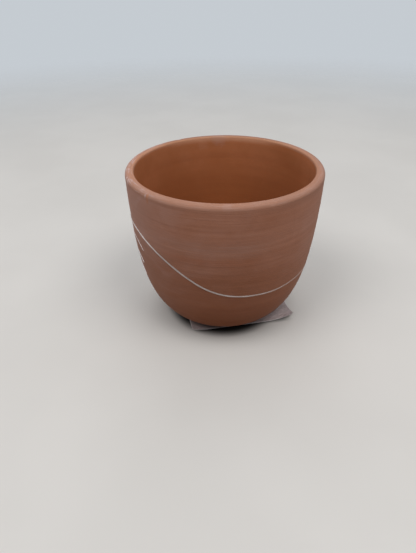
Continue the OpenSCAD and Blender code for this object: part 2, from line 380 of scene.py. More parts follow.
def terracotta():
    m = Nodes("terracotta_clay")
    geo = m.add("ShaderNodeNewGeometry")
    pos = m.add("ShaderNodeTexCoord").outputs["Object"]
    sep = m.add("ShaderNodeSeparateXYZ")
    m.link(pos, sep.inputs[0])
    x, y, z = sep.outputs
    mm = m.scaled(pos, 1000, 1000, 1000)                    # coordinates in millimetres
    nrm = m.add("ShaderNodeSeparateXYZ")
    m.link(geo.outputs["True Normal"], nrm.inputs[0])
    nz = nrm.outputs[2]
    rad = m.math("SQRT", m.math("ADD", m.math("MULTIPLY", x, x), m.math("MULTIPLY", y, y)))
    # outside: the normal points away from the axis
    radial = m.math("ADD", m.math("MULTIPLY", nrm.outputs[0], x), m.math("MULTIPLY", nrm.outputs[1], y))
    outside = m.ramp(m.math("DIVIDE", radial, m.math("MAXIMUM", rad, 0.001)), -0.15, 0.25)
    below_floor = m.ramp(z, 0.0035, 0.005, 1.0, 0.0)
    outside = m.math("MAXIMUM", outside, below_floor)
    # turning marks: noise drawn out round the pot
    fine = m.noise(m.scaled(mm, 0.035, 0.035, 2.6), 1.0, 3.0, 0.6)
    mid = m.noise(m.scaled(mm, 0.022, 0.022, 0.62, (7, 3, 1)), 1.0, 4.0, 0.55)
    broad = m.noise(m.scaled(mm, 0.020, 0.020, 0.09, (1, 9, 4)), 1.0, 3.0, 0.5)
    grain = m.noise(mm, 3.2, 5.0, 0.7)
    mott = m.noise(mm, 0.16, 5.0, 0.6, 0.4)
    cloud = m.noise(m.scaled(mm, 0.050, 0.050, 0.075, (3, 1, 8)), 1.0, 4.0, 0.55, 0.6)
    slow = m.noise(m.scaled(mm, 0.045, 0.045, 0.045, (5, 2, 6)), 1.0, 2.0, 0.5)

    base = m.mix(m.ramp(mott, 0.24, 0.78), CLAY_A, CLAY_B)
    base = m.mix(m.ramp(mid, 0.40, 0.68, 0.0, 0.45), base, CLAY_C)
    # pale, pinkish grey bloom on the outside, in patches and along the turning marks
    bloom_and_sheen = m.math("MULTIPLY", m.ramp(cloud, 0.40, 0.64), m.ramp(fine, 0.34, 0.60, 0.45, 1.0))
    bloom_and_sheen = m.math("ADD", m.math("MULTIPLY", bloom_and_sheen, 0.40), m.math("MULTIPLY", m.ramp(broad, 0.42, 0.62, 0.25, 1.0), 0.20))
    bloom_and_sheen = m.math("ADD", bloom_and_sheen, 0.055)
    # more of it on the left and towards the rim, as it was handled there; along the left and right outline it is
    # painted sheen, a pale haze where grazing light catches the dusty surface
    side = m.math("MULTIPLY", m.ramp(x, -0.042, 0.012, 1.0, 0.42), m.ramp(z, 0.012, 0.060, 0.25, 1.0))
    outline_sheen = m.math("MULTIPLY", m.ramp(x, -0.049, -0.014, 0.72, 0.0), m.ramp(z, 0.030, 0.070, 0.25, 1.0))
    outline_sheen = m.math("ADD", outline_sheen, m.math("MULTIPLY", m.ramp(x, 0.014, 0.046, 0.0, 0.23), m.ramp(z, 0.020, 0.050, 0.3, 1.0)))
    bloom_and_sheen = m.math("MULTIPLY", m.math("ADD", m.math("MULTIPLY", bloom_and_sheen, side), outline_sheen, clamp=True), outside)
    # painted shade: the clay darker and redder towards the foot
    base = m.mix(m.ramp(z, 0.071, 0.036, 0.0, 1.0), base, CLAY_LOW_SHADED)
    col = m.mix(bloom_and_sheen, base, BLOOM_AND_SHEEN)
    # a grey band and a redder one below it, across the front, where the clay was wiped while it turned
    front = m.math("MULTIPLY", m.math("MULTIPLY", m.ramp(x, -0.036, -0.018), m.ramp(x, 0.026, 0.008)), m.ramp(y, 0.0, -0.020))
    grey = m.math("MULTIPLY", m.ramp(m.math("ABSOLUTE", m.math("SUBTRACT", z, 0.0655)), 0.0058, 0.0010), front)
    grey = m.math("MULTIPLY", grey, m.ramp(fine, 0.36, 0.60, 0.35, 1.0))
    col = m.mix(m.math("MULTIPLY", grey, 0.46), col, WIPED)
    red = m.math("MULTIPLY", m.ramp(m.math("ABSOLUTE", m.math("SUBTRACT", z, 0.0588)), 0.0022, 0.0006), front)
    red = m.math("MULTIPLY", red, m.ramp(mid, 0.36, 0.58, 0.3, 1.0))
    col = m.mix(m.math("MULTIPLY", red, 0.30), col, RUDDY)
    # warm inside
    inner = m.mix(m.ramp(slow, 0.35, 0.65), INSIDE_A, INSIDE_B)
    inner = m.mix(m.ramp(mott, 0.42, 0.72, 0.0, 0.35), inner, INSIDE_B)
    # painted shade: the inside darker further down
    inner = m.mix(m.ramp(z, 0.086, 0.045, 0.0, 1.0, "LINEAR"), inner, INSIDE_DEEP_SHADE)
    col = m.mix(m.math("SUBTRACT", 1.0, outside), col, inner)
    # the lip is rubbed: paler and cleaner, over its top and a little way down
    wave_edge = m.math("ADD", z, m.math("MULTIPLY", m.math("SUBTRACT", m.noise(m.scaled(mm, 0.11, 0.11, 0.2, (4, 4, 0)), 1.0, 3.0, 0.5), 0.5), 0.0012))
    # painted light: along the left outline the pale lip colour reaches further down the lip's outer curve
    wave_edge = m.math("ADD", wave_edge, m.ramp(x, -0.0500, -0.0440, 0.0016, 0.0))
    # on the inner side the rubbing ends with the lip, except at the back, where it reaches a little further down
    within = m.mixf(m.ramp(m.math("ABSOLUTE", x), 0.020, 0.036), m.ramp(wave_edge, 0.0830, 0.0862), m.ramp(wave_edge, 0.0849, 0.0866))
    high = m.mixf(m.ramp(rad, 0.0466, 0.0457), m.ramp(wave_edge, 0.0828, 0.0862), within)
    rub_and_painted_light = m.math("MULTIPLY", high, m.ramp(m.noise(m.scaled(mm, 0.06, 0.06, 0.3, (2, 5, 0)), 1.0, 3.0, 0.5), 0.3, 0.7, 0.70, 1.0))
    # painted highlight: the inner edge of the lip made paler, most at the back and least at the sides
    inner_lip_highlight = m.math("MULTIPLY", m.ramp(rad, 0.0470, 0.0456), m.ramp(y, -0.030, 0.020, 0.40, 1.0))
    inner_lip_highlight = m.math("MULTIPLY", inner_lip_highlight, m.ramp(m.math("ABSOLUTE", x), 0.022, 0.040, 1.0, 0.50))
    col = m.mix(rub_and_painted_light, col, m.mix(inner_lip_highlight, LIP, LIP_IN_HIGHLIGHT))
    # grey dust rubbed into the lip, most on the left
    along = m.add("ShaderNodeCombineXYZ")
    inv = m.math("DIVIDE", 5.0, m.math("MAXIMUM", rad, 0.001))
    m.link(m.math("MULTIPLY", x, inv), along.inputs[0])
    m.link(m.math("MULTIPLY", y, inv), along.inputs[1])
    m.link(m.math("MULTIPLY", m.math("SUBTRACT", rad, z), 1900.0), along.inputs[2])
    scratch = m.noise(along.outputs[0], 1.0, 4.0, 0.6, 0.15)
    blot = m.noise(m.scaled(mm, 0.26, 0.26, 0.5, (8, 8, 2)), 1.0, 4.0, 0.6, 0.8)
    left = m.ramp(x, -0.050, -0.022, 1.0, 0.22)
    dust = m.math("ADD", m.math("MULTIPLY", m.ramp(scratch, 0.49, 0.58), m.ramp(blot, 0.30, 0.52)),
                  m.math("MULTIPLY", m.ramp(blot, 0.58, 0.70), 0.4))
    dust = m.math("MULTIPLY", m.math("MULTIPLY", dust, left), m.math("MULTIPLY", m.ramp(z, 0.0842, 0.0860), m.ramp(rad, 0.0462, 0.0472)))
    col = m.mix(m.math("MULTIPLY", dust, 0.72, clamp=True), col, DUST)
    col = m.mix(m.math("MULTIPLY", m.math("MULTIPLY", m.ramp(scratch, 0.48, 0.38), high), m.ramp(y, -0.02, 0.03, 0.26, 0.08)), col, CLAY_A)
    # fresh clay in the knocks
    for (kx, ky, kz, kr, kc) in KNOCK_SPOTS:
        d = m.add("ShaderNodeVectorMath", operation="DISTANCE")
        m.link(m.scaled(mm, 1, 1, 0.30), d.inputs[0])
        d.inputs[1].default_value = (kx, ky, kz * 0.30)
        near = m.ramp(m.math("ADD", d.outputs[1], m.math("MULTIPLY", m.math("SUBTRACT", grain, 0.5), 0.6)), kr * 0.55, kr, 1.0, 0.0)
        col = m.mix(m.math("MULTIPLY", near, 0.8), col, kc)
    # faint pale patches where something has rubbed off on the rim; the two orange patches on the inside of the back
    # wall are a painted highlight
    for (kx, ky, kz, kr, kf, kc) in DUST_AND_GLOW_PATCHES:
        d = m.add("ShaderNodeVectorMath", operation="DISTANCE")
        m.link(mm, d.inputs[0])
        d.inputs[1].default_value = (kx, ky, kz)
        near = m.ramp(m.math("ADD", d.outputs[1], m.math("MULTIPLY", m.math("SUBTRACT", blot, 0.5), 1.3 * kr)), kr * 0.3, kr, 1.0, 0.0)
        col = m.mix(m.math("MULTIPLY", near, kf), col, kc)
    # fine pale and dark specks of grog
    v = m.add("ShaderNodeTexVoronoi")
    m.link(mm, v.inputs["Vector"])
    v.inputs["Scale"].default_value = 0.85
    spot = m.ramp(v.outputs["Distance"], 0.04, 0.13, 1.0, 0.0)
    pick = m.add("ShaderNodeSeparateColor")
    m.link(v.outputs["Color"], pick.inputs[0])
    pale = m.math("MULTIPLY", spot, m.ramp(pick.outputs[0], 0.86, 0.90))
    dark = m.math("MULTIPLY", spot, m.ramp(pick.outputs[1], 0.88, 0.92))
    col = m.mix(m.math("MULTIPLY", pale, 0.30), col, (0.66, 0.44, 0.34))
    col = m.mix(m.math("MULTIPLY", dark, 0.30), col, (0.17, 0.075, 0.045))
    # light and dark of the turning marks and the grain; the inside is smoother
    marks = m.math("MULTIPLY", m.math("SUBTRACT", fine, 0.5), m.mixf(outside, 0.07, 0.14))
    marks = m.math("ADD", marks, m.math("MULTIPLY", m.math("SUBTRACT", mid, 0.5), m.mixf(outside, 0.075, 0.10)))
    marks = m.math("ADD", marks, m.math("MULTIPLY", m.math("SUBTRACT", grain, 0.5), 0.11))
    # painted light: the outside lighter towards the right, below the lip
    east_painted_light = m.math("MULTIPLY", m.ramp(x, 0.004, 0.040, 0.0, 0.105), outside)
    tone_and_painted_light = m.math("ADD", m.math("ADD", 1.0, marks), m.math("MULTIPLY", east_painted_light, m.ramp(z, 0.0835, 0.080)))
    # painted light: the lip lighter on the left
    tone_and_painted_light = m.math("ADD", tone_and_painted_light, m.math("MULTIPLY", m.ramp(x, -0.028, -0.044, 0.0, 0.07), high))
    # painted sheen: the upper wall lighter along the left outline
    tone_and_painted_light = m.math("ADD", tone_and_painted_light, m.math("MULTIPLY", m.ramp(x, -0.0400, -0.0485, 0.0, 0.06), m.ramp(z, 0.050, 0.070)))
    dip = m.math("MULTIPLY", m.math("MULTIPLY", m.ramp(z, 0.064, 0.056), m.ramp(z, 0.035, 0.042)), m.ramp(x, 0.008, 0.022, 0.055, 0.0))
    tone_and_painted_light = m.math("SUBTRACT", tone_and_painted_light, m.math("MULTIPLY", dip, outside))
    # painted shade: the crest of the lip darker at the back
    painted_crest_shade = m.math("MULTIPLY", m.ramp(z, 0.0856, 0.0866), m.ramp(y, 0.026, 0.042, 0.0, 0.17))
    tone_and_painted_light = m.math("SUBTRACT", tone_and_painted_light, painted_crest_shade)
    shade = m.math("MULTIPLY", m.math("SUBTRACT", 1.0, outside), m.ramp(z, 0.086, 0.080))
    tone_and_painted_light = m.math("SUBTRACT", tone_and_painted_light, m.math("MULTIPLY", m.ramp(x, 0.005, 0.040, 0.0, 0.09), shade))
    tone_and_painted_light = m.math("SUBTRACT", tone_and_painted_light, m.math("MULTIPLY", m.ramp(z, 0.076, 0.055, 0.0, 0.05), shade))
    g = m.add("ShaderNodeCombineXYZ")
    for i in range(3):
        m.link(tone_and_painted_light, g.inputs[i])
    col = m.mix(1.0, col, g.outputs[0], "MULTIPLY")
    rough = m.math("ADD", m.ramp(fine, 0.3, 0.7, 0.80, 0.92, "LINEAR"), m.math("MULTIPLY", high, -0.06))
    h = m.math("ADD", m.math("MULTIPLY", fine, m.mixf(outside, 0.25, 0.62)), m.math("MULTIPLY", grain, 0.30))
    h = m.math("ADD", h, m.math("MULTIPLY", mid, m.mixf(outside, 0.2, 0.5)))
    n = m.bump(h, 0.00015, 0.85)
    pits = m.ramp(v.outputs["Distance"], 0.02, 0.10)
    pit = m.mixf(m.ramp(pick.outputs[2], 0.90, 0.93), 1.0, pits)
    n = m.bump(pit, 0.00008, 0.8, n)
    return m.finish(col, rough, n, **{"Specular IOR Level": 0.22, "Sheen Weight": m.mixf(outside, 0.0, 0.16), "Sheen Roughness": 0.45,
                                      "Sheen Tint": (1.0, 0.86, 0.84, 1)})


def slip():
    m = Nodes("white_slip")
    pos = m.add("ShaderNodeTexCoord").outputs["Object"]
    mm = m.scaled(pos, 1000, 1000, 1000)
    sep = m.add("ShaderNodeSeparateXYZ")
    m.link(pos, sep.inputs[0])
    patch = m.noise(mm, 0.22, 4.0, 0.6)
    grit = m.noise(mm, 2.6, 4.0, 0.7)
    col = m.mix(m.ramp(patch, 0.36, 0.70), SLIP_A, SLIP_B)
    # clay shows through where the slip is thin: more so on the right
    x = sep.outputs[0]
    thin = m.math("MULTIPLY", m.ramp(grit, 0.48, 0.66), m.ramp(x, 0.005, 0.034, 0.12, 0.85))
    thin = m.math("MAXIMUM", thin, m.ramp(x, 0.004, 0.037, 0.10, 0.60))
    # painted light: the line bluer white at the far left
    col = m.mix(m.ramp(x, -0.0410, -0.0330, 0.85, 0.0), col, SLIP_LEFT_LIGHT)
    col = m.mix(thin, col, SLIP_C)
    # painted light: whitest at the far left, where the light from the left falls on the line
    slip_tone_and_painted_light = m.math("ADD", m.ramp(x, -0.0395, -0.0300, 1.10, 0.66), m.ramp(x, -0.012, 0.006, 0.0, 0.10))
    # thinner again in the sprig, which was brushed over lightly
    light = m.math("MULTIPLY", m.ramp(x, -0.0375, -0.0395), m.math("MULTIPLY", m.ramp(sep.outputs[2], 0.0585, 0.0560), m.ramp(sep.outputs[2], 0.0455, 0.0480)))
    slip_tone_and_painted_light = m.math("SUBTRACT", slip_tone_and_painted_light, m.math("MULTIPLY", light, 0.13))
    col = m.mix(m.math("MULTIPLY", light, 0.30), col, SLIP_C)
    slip_tone_and_painted_light = m.math("ADD", slip_tone_and_painted_light, m.math("MULTIPLY", m.math("SUBTRACT", patch, 0.5), 0.35))
    g = m.add("ShaderNodeCombineXYZ")
    for i in range(3):
        m.link(slip_tone_and_painted_light, g.inputs[i])
    col = m.mix(1.0, col, g.outputs[0], "MULTIPLY")
    n = m.bump(grit, 0.00006, 0.8)
    return m.finish(col, 0.80, n, **{"Specular IOR Level": 0.3, "Sheen Weight": 0.35, "Sheen Roughness": 0.4})


def painted_foot_shade(m, pos, col, r0=0.024, r1=0.031, k=0.55):
    """Painted shade close round the foot: the colour is darkened towards the axis."""
    sep = m.add("ShaderNodeSeparateXYZ")
    m.link(pos, sep.inputs[0])
    x, y, z = sep.outputs
    r = m.math("SQRT", m.math("ADD", m.math("MULTIPLY", x, x), m.math("MULTIPLY", y, y)))
    f = m.ramp(r, r0, r1, k, 1.0)
    g = m.add("ShaderNodeCombineXYZ")
    for i in range(3):
        m.link(f, g.inputs[i])
    return m.mix(1.0, col, g.outputs[0], "MULTIPLY")


def paper():
    m = Nodes("label_paper")
    pos = m.add("ShaderNodeTexCoord").outputs["Object"]
    mm = m.scaled(pos, 1000, 1000, 1000)
    fib = m.noise(m.scaled(mm, 1.4, 0.5, 1.0), 1.0, 5.0, 0.65)
    cl = m.noise(mm, 0.10, 3.0, 0.5)
    col = m.mix(m.ramp(cl, 0.35, 0.7), (0.76, 0.73, 0.74), (0.68, 0.65, 0.67))
    col = m.mix(m.ramp(fib, 0.5, 0.75, 0.0, 0.25), col, (0.42, 0.40, 0.42))
    # painted shade: the paper darkened close round the foot
    return m.finish(painted_foot_shade(m, pos, col), 0.72, m.bump(fib, 0.00003, 0.7), **{"Specular IOR Level": 0.35})


def adhesive():
    m = Nodes("label_adhesive")
    pos = m.add("ShaderNodeTexCoord").outputs["Object"]
    mm = m.scaled(pos, 1000, 1000, 1000)
    turn = m.add("ShaderNodeVectorRotate", rotation_type="Z_AXIS")
    m.link(mm, turn.inputs["Vector"])
    turn.inputs["Angle"].default_value = math.radians(-28)
    streak = m.noise(m.scaled(turn.outputs[0], 0.30, 2.0, 1.0), 1.0, 4.0, 0.66, 0.25)
    cl = m.noise(mm, 0.14, 4.0, 0.55)
    dust = m.noise(mm, 4.5, 3.0, 0.6)
    col = m.mix(m.ramp(cl, 0.35, 0.7), GLUE_A, GLUE_B)
    col = m.mix(m.ramp(streak, 0.45, 0.62, 0.05, 0.70), col, GLUE_C)
    rough = m.ramp(streak, 0.3, 0.7, 0.34, 0.55, "LINEAR")
    sep = m.add("ShaderNodeSeparateXYZ")
    m.link(pos, sep.inputs[0])
    x, y, z = sep.outputs
    # paler at the left end
    col = m.mix(m.ramp(x, 0.0, -0.018, 0.0, 0.22), col, GLUE_C)
    # painted light and shade: paler towards the free edges, where the curled sheet catches the light, and greyer close
    # to the foot, in the pot's shade
    r = m.math("SQRT", m.math("ADD", m.math("MULTIPLY", x, x), m.math("MULTIPLY", y, y)))
    v = m.math("ADD", m.math("MULTIPLY", y, math.cos(TURN)), m.math("MULTIPLY", x, -math.sin(TURN)))
    east_painted_light = m.math("MULTIPLY", m.ramp(r, 0.0305, 0.0378, 0.70, 1.16, "LINEAR"), m.ramp(v, -0.0245, -0.0140, 1.20, 0.80, "LINEAR"))
    label_light_tone = m.mixf(m.ramp(x, -0.008, 0.008), m.ramp(r, 0.0270, 0.0308, 0.68, 1.18, "LINEAR"), east_painted_light)
    g = m.add("ShaderNodeCombineXYZ")
    for i in range(3):
        m.link(label_light_tone, g.inputs[i])
    col = m.mix(1.0, col, g.outputs[0], "MULTIPLY")
    h = m.math("ADD", m.math("MULTIPLY", streak, 1.0), m.math("MULTIPLY", dust, 0.12))
    # painted shade: the film darkened close round the foot
    return m.finish(painted_foot_shade(m, pos, col), rough, m.bump(h, 0.00012, 0.6), **{"Specular IOR Level": 0.45})


TURN = math.radians(11.35)                 # how far the label is turned

# colours (scene linear)
CLAY_A = (0.468, 0.220, 0.142)
CLAY_B = (0.420, 0.188, 0.114)
CLAY_C = (0.498, 0.250, 0.170)
# the darker, redder clay towards the foot is painted shade
CLAY_LOW_SHADED = (0.377, 0.161, 0.090)
# pale bloom; along the outline the same colour is painted sheen
BLOOM_AND_SHEEN = (0.510, 0.305, 0.258)
WIPED = (0.430, 0.272, 0.232)
RUDDY = (0.455, 0.184, 0.108)
INSIDE_A = (0.545, 0.210, 0.092)
INSIDE_B = (0.480, 0.176, 0.070)
# the darkest inside tone, further down, is painted shade
INSIDE_DEEP_SHADE = (0.360, 0.120, 0.039)
LIP = (0.418, 0.216, 0.150)
# the pale inner lip colour is a painted highlight
LIP_IN_HIGHLIGHT = (0.735, 0.380, 0.230)
DUST = (0.56, 0.41, 0.39)
FRESH = (0.490, 0.228, 0.140)
CHIP = (0.60, 0.43, 0.40)
SLIP_A = (0.95, 0.895, 0.915)
SLIP_B = (0.89, 0.805, 0.815)
# the bluer white at the far left of the line is painted light
SLIP_LEFT_LIGHT = (0.96, 0.96, 1.00)
SLIP_C = (0.78, 0.49, 0.40)
GLUE_A = (0.395, 0.332, 0.338)
GLUE_B = (0.335, 0.280, 0.285)
GLUE_C = (0.610, 0.540, 0.545)


def at_rim(deg, r, z):
    a = math.radians(deg)
    return (r * math.sin(a), -r * math.cos(a), z)


KNOCK_SPOTS = [(*at_rim(-43.7, 49.6, 84.9), 1.15, FRESH), (*at_rim(-45.4, 49.8, 85.4), 0.50, CHIP),
               (*at_rim(-67.5, 49.7, 86.1), 1.25, CHIP), (*at_rim(-71.5, 49.6, 86.3), 0.85, CHIP)]

# pale dust on the rim, and two orange patches inside the back wall, which are a painted highlight
DUST_AND_GLOW_PATCHES = [(*at_rim(-165.0, 45.5, 82.5), 4.2, 0.16, (0.66, 0.34, 0.22)), (*at_rim(-177.0, 46.3, 86.4), 6.5, 0.20, DUST),
           (*at_rim(0.5, 48.8, 86.6), 3.0, 0.15, DUST), (*at_rim(-150.0, 45.4, 76.0), 6.0, 0.07, (0.62, 0.30, 0.18))]

mat_clay = terracotta()
mat_slip = slip()
mat_paper = paper()
mat_glue = adhesive()


# ---------------------------------------------------------------------------
# the clay body: one closed grid, hole edge - foot - wall - lip - inside - floor - hole
# ---------------------------------------------------------------------------
th = -np.arange(COLS) * 2 * math.pi / COLS
rows = []          # each (r, z, kind) with r, z arrays over th


def row(r, z):
    rows.append((np.broadcast_to(r, th.shape).astype(float), np.broadcast_to(z, th.shape).astype(float)))


# foot: rubbed hole edge, slightly hollow middle, standing ring
for a in (90, 60, 30):
    row(HOLE + 0.5 - 0.5 * math.sin(math.radians(a)), Z0 + 0.22 + 0.5 - 0.5 * math.cos(math.radians(a)))
for r in np.linspace(HOLE + 0.6, FOOT - 5.5, 9):
    row(r, Z0 + 0.22)
for r in np.linspace(FOOT - 5.0, FOOT - 3.4, 4):
    row(r, Z0 + 0.22 * (1 - smooth(r, FOOT - 5.2, FOOT - 3.3)))
for r in np.linspace(FOOT - 3.0, FOOT - 1.5, 3):
    row(r, Z0)

# outside wall: rows follow the wave line
N_LOW, N_UP = 56, 50
sw = wave_s(th)
hw = line_half(th)
# slope of the line, so the band keeps its width measured across it
rz_r, _ = out_rz(sw)
dsdth = (np.roll(sw, -1) - np.roll(sw, 1)) / (np.roll(th, -1) - np.roll(th, 1) + 0.0)
dsdth[0] = (sw[1] - sw[-1]) / (-2 * 2 * math.pi / COLS)
dsdth[-1] = (sw[0] - sw[-2]) / (-2 * 2 * math.pi / COLS)
slope = np.sqrt(1 + (dsdth / rz_r) ** 2)
BAND = 0.80
carve = [(-BAND / 0.46, 0.0), (-1.22, 0.012), (-1.06, 0.018), (-0.97, -0.04), (-0.84, -0.26), (-0.60, -0.36), (0.0, -0.38),
         (0.66, -0.37), (0.96, -0.32), (1.05, -0.03), (1.12, 0.012), (1.24, 0.010), (BAND / 0.46, 0.0)]
lo_edge = sw + carve[0][0] * hw * slope
hi_edge = sw + carve[-1][0] * hw * slope
rag = Wobble(41, 30, 70, 400, 0.1)


def wall_row(s, up=0.0):
    r, z = out_rz(s)
    nr, nz = out_normal(s)
    d = push_out(th, z) + up
    rows.append((r + nr * d, z + nz * d + lift_rim(th, z)))


for i in range(N_LOW):
    f = i / N_LOW
    f = 0.55 * f + 0.45 * f ** 1.25                       # closer rows by the foot
    wall_row(lo_edge * f)
for j, (x, up) in enumerate(carve):
    jag = 0.03 * rag(th + 0.7 * j, 0 * th) if 1 < j < len(carve) - 2 else 0.0
    wall_row(sw + (x + jag * 0.5) * hw * slope, up * (1 + 0.12 * (jag / 0.03 if np.ndim(jag) else 0)))
for i in range(1, N_UP + 1):
    wall_row(hi_edge + (OUT_LEN - hi_edge) * i / N_UP)

# lip
edge_push = push_out(th, np.full_like(th, TOP - LIP_O))
in_push = push_in(th, np.full_like(th, TOP - LIP_I))
LIFT = lift_rim(th, np.full_like(th, TOP))
for a in np.linspace(7.5, 90, 12):
    c, s_ = polar(a)
    row(RIM - LIP_O + LIP_O * c + edge_push * c, TOP - LIP_O + LIP_O * s_ + LIFT)
for a in np.linspace(90, 172, 10):
    c, s_ = polar(a)
    row(RIM - WALL + LIP_I + LIP_I * c + in_push * -c, TOP - LIP_I + LIP_I * s_ + LIFT)
# inside wall
N_IN = 50
for i in range(0, N_IN):
    s = INN_S[-1] * (i + 0.0) / N_IN
    r = np.interp(s, INN_S, INN[:, 0])
    z = np.interp(s, INN_S, INN[:, 1])
    row(r + push_in(th, np.full_like(th, z)), z + lift_rim(th, np.full_like(th, z)))
# floor, with a slight fall to the hole
for r in np.linspace(17.5, HOLE + 0.9, 9):
    row(r, Z0 + BASE - 0.25 * (1 - smooth(r, HOLE, 17.5)) + 0.03 * np.sin(3 * th + r))
for a in (15, 45, 75):
    row(HOLE + 0.6 - 0.6 * math.sin(math.radians(a)), Z0 + BASE - 0.25 - 0.6 + 0.6 * math.cos(math.radians(a)))
for z in np.linspace(Z0 + BASE - 1.2, Z0 + 1.2, 5):
    row(HOLE, z)

R = np.array([r for r, z in rows])
Z = np.array([z for r, z in rows])

# a nick where something has knocked the rim, and a smaller chip beside it
def knock(th0, z0, wth, wz, depth):
    """Pushes the clay back round one spot on the rim's outer edge."""
    global R, Z
    d = np.degrees((th - math.radians(th0) + math.pi) % (2 * math.pi) - math.pi)[None, :]
    out = np.zeros_like(R)
    n_rows = len(rows)
    w = np.exp(-(d / wth) ** 2) * np.exp(-((Z - z0) / wz) ** 2) * (R > RIM - WALL - 0.2)
    R -= depth * w * 0.6
    Z -= depth * w * 0.8


knock(-43.7, 85.5, 0.8, 1.9, 0.36)
knock(-45.6, 86.8, 0.8, 0.7, 0.14)
knock(-66.5, 85.7, 1.3, 0.9, 0.16)
knock(-71.5, 86.6, 1.5, 0.6, 0.18)
knock(23.0, 86.6, 1.5, 0.8, 0.16)
knock(-148.0, 86.9, 2.0, 0.7, 0.18)

nr_ = len(rows)
V = np.stack([R * np.sin(th)[None, :], -R * np.cos(th)[None, :], Z], -1).reshape(-1, 3)
F = []
for i in range(nr_):
    a, b = i * COLS, ((i + 1) % nr_) * COLS
    for j in range(COLS):
        j2 = (j + 1) % COLS
        F.append((a + j, a + j2, b + j2, b + j))
pot = make("pot_body_clay", V, F, [mat_clay], sharp=50)

# the sprig is cut in with knife-like strokes
def add_to(vs, fs, v, f):
    n = sum(len(x) for x in vs)
    vs.append(v)
    fs.extend([tuple(i + n for i in q) for q in f])


strokes = [("stem", stem_path())] + [(f"leaf_{p}_{'r' if h > 0 else 'l'}", leaf_path(p, h)) for p in range(3) for h in (1, -1)]
CUT_UP = [0.5, -0.02, -0.26, -0.36, -0.36, -0.26, -0.02, 0.5]
CUT_AT = [0.62, 0.50, 0.40, 0.20, -0.20, -0.40, -0.50, -0.62]


def outward(ob):
    bm = bmesh.new()
    bm.from_mesh(ob.data)
    bmesh.ops.recalc_face_normals(bm, faces=bm.faces)
    bm.to_mesh(ob.data)
    bm.free()


outward(pot)
# one cutter per group of strokes that do not touch each other
for group in ([0], [1, 2], [3, 4], [5, 6]):
    cut_v, cut_f = [], []
    for i in group:
        v, f = ribbon(*strokes[i][1], CUT_UP, CUT_AT)
        add_to(cut_v, cut_f, v, f)
    cutter = make("cutter", np.vstack(cut_v), cut_f, [mat_clay], body=None)
    outward(cutter)
    mod = pot.modifiers.new("cut", "BOOLEAN")
    mod.operation, mod.solver, mod.object = "DIFFERENCE", "EXACT", cutter
    dg = bpy.context.evaluated_depsgraph_get()
    cut = bpy.data.meshes.new_from_object(pot.evaluated_get(dg))
    pot.modifiers.clear()
    assert len(cut.polygons) > 0.95 * len(pot.data.polygons)
    old = pot.data
    pot.data = cut
    bpy.data.meshes.remove(old)
    cut.name = "pot_body_clay"
    bpy.data.objects.remove(cutter)
shade(pot, 50)
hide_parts("pot_body")

# ---------------------------------------------------------------------------
# slip in the carved lines
# ---------------------------------------------------------------------------
fill = Wobble(51, 40, 90, 400, 0.15)
n = 1500
tw = -np.arange(n) * 2 * math.pi / n
level = -0.005 + 0.014 * fill(tw, 0 * tw)
crown = 0.165 + 0.035 * np.cos(tw + math.radians(60)) + 0.016 * fill(tw + 2, 0 * tw)
v, f = ribbon(tw, wave_s(tw), 2 * line_half(tw),
              [level - 0.02, level + crown * 0.72, level + crown, level + crown * 0.55, level - 0.01, -0.30, -0.34, -0.30],
              [0.475, 0.40, 0.24, -0.06, -0.375, -0.36, 0.0, 0.40], closed=True)
wave = make("wave_line_slip", v, f, [mat_slip], sharp=60)
outward(wave)
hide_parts("wave_line_inlay")


def slip_stroke(path, seed):
    t_, s_, w_ = path
    g = np.random.RandomState(seed)
    lv = -0.020 + 0.018 * np.convolve(g.normal(size=len(t_) + 4), np.ones(5) / 5, "valid")
    cr = 0.20 + 0.08 * np.linspace(0, 1, len(t_))
    return ribbon(t_, s_, w_ * 0.985, [lv - 0.01, lv + cr * 0.72, lv + cr, lv + cr * 0.6, lv - 0.01, -0.24, -0.33, -0.24],
                  [0.48, 0.40, 0.14, -0.22, -0.48, -0.38, 0.0, 0.38])


v, f = slip_stroke(strokes[0][1], 1)
stem = make("sprig_stem_slip", v, f, [mat_slip], sharp=60)
outward(stem)
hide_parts("sprig_stem_inlay")
lv_, lf_ = [], []
for i, (_, path) in enumerate(strokes[1:]):
    v, f = slip_stroke(path, 10 + i)
    add_to(lv_, lf_, v, f)
leaves = make("sprig_leaf_slip", np.vstack(lv_), lf_, [mat_slip], sharp=60)
outward(leaves)
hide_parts("sprig_leaf_inlays")

# ---------------------------------------------------------------------------
# the label: paper below, adhesive film above, corners lifted, slight creases
# ---------------------------------------------------------------------------
LL, LW, DX, DY = 60.4, 40.0, 6.8, -6.05
PT, GT = 0.12, Z0 - 0.12
CR = 21.5
corners = [((LL / 2, -LW / 2), (0.665, -0.747), 11.7), ((-LL / 2, -LW / 2), (-0.7071, -0.7071), 7.7),
           ((-LL / 2, LW / 2), (-0.7071, 0.7071), 5.0), ((LL / 2, LW / 2), (0.7071, 0.7071), 6.0)]


def label_lift(x, y):
    z = np.zeros_like(x)
    for (cx, cy), (dx, dy), l in corners:
        u = np.maximum(0, l - ((cx - x) * dx + (cy - y) * dy))
        z += CR - np.sqrt(CR * CR - u * u)
    # creases and a faint cockle, only where the sheet is free of the foot
    wx = x * math.cos(TURN) - y * math.sin(TURN) + DX * math.cos(TURN) - DY * math.sin(TURN)
    wy = x * math.sin(TURN) + y * math.cos(TURN) + DX * math.sin(TURN) + DY * math.cos(TURN)
    free = smooth(np.hypot(wx, wy), FOOT + 2.5, FOOT + 9.0)
    c = 0.10 * np.sin(0.55 * x + 0.2 * y + 0.6) * np.sin(0.33 * y + 1.0) + 0.05 * np.sin(1.1 * x - 0.7 * y)
    fold = -0.10 * np.exp(-((x - 21.5 + 0.35 * (y + 20)) / 0.8) ** 2) + 0.06 * np.exp(-((x + 25.5 - 0.5 * (y + 20)) / 0.7) ** 2)
    return np.maximum(0, z + (np.abs(c) * 0.8 + fold) * free)


